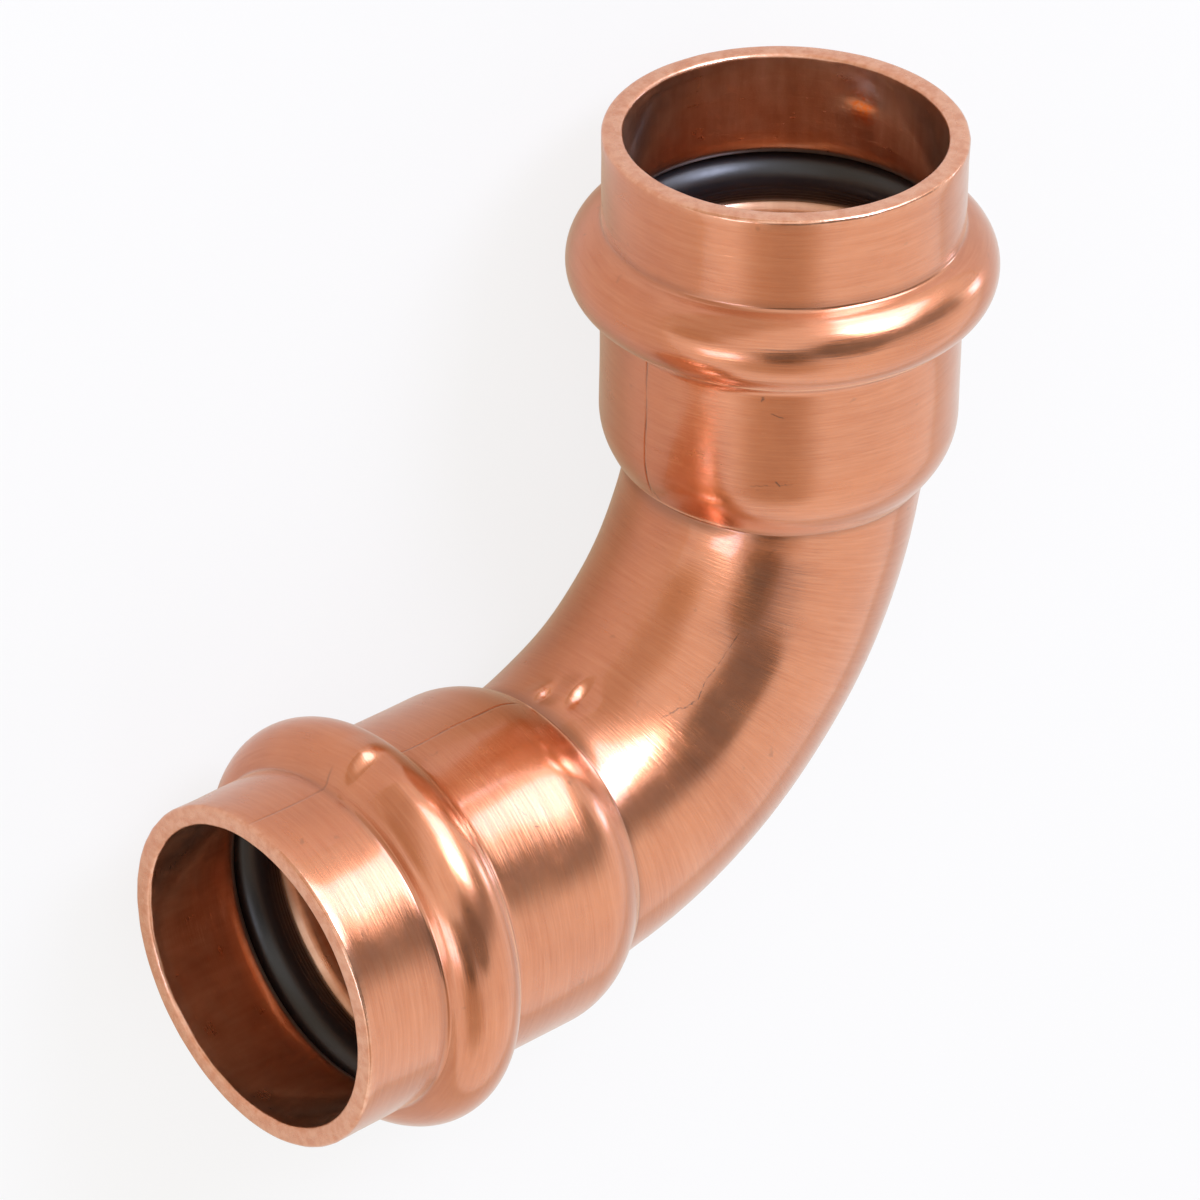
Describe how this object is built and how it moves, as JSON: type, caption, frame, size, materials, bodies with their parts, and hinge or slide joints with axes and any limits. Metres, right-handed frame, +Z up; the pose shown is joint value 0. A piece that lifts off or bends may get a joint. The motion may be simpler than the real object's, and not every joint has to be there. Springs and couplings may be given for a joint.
{
  "type": "press fit elbow",
  "caption": "Bent copper pipe elbow with a press socket at each end; a rolled bead round each socket holds a rubber sealing ring.",
  "frame": {"origin": "middle of the bounding box, on the surface that the elbow lies on", "axes": "+Z up from the surface that the elbow lies on; the left socket opens towards -X and the rear socket towards +Y, both leaning up about 11 degrees from the bend"},
  "size_m": [0.0658, 0.0658, 0.0299],
  "materials": {
    "copper": "satin brushed copper with fine turning lines",
    "seal_rubber": "black moulded rubber, slightly greased"
  },
  "bodies": {
    "root": {"elbow_body": "copper", "left_seal_ring": "seal_rubber", "rear_seal_ring": "seal_rubber"}
  },
  "joints": []
}
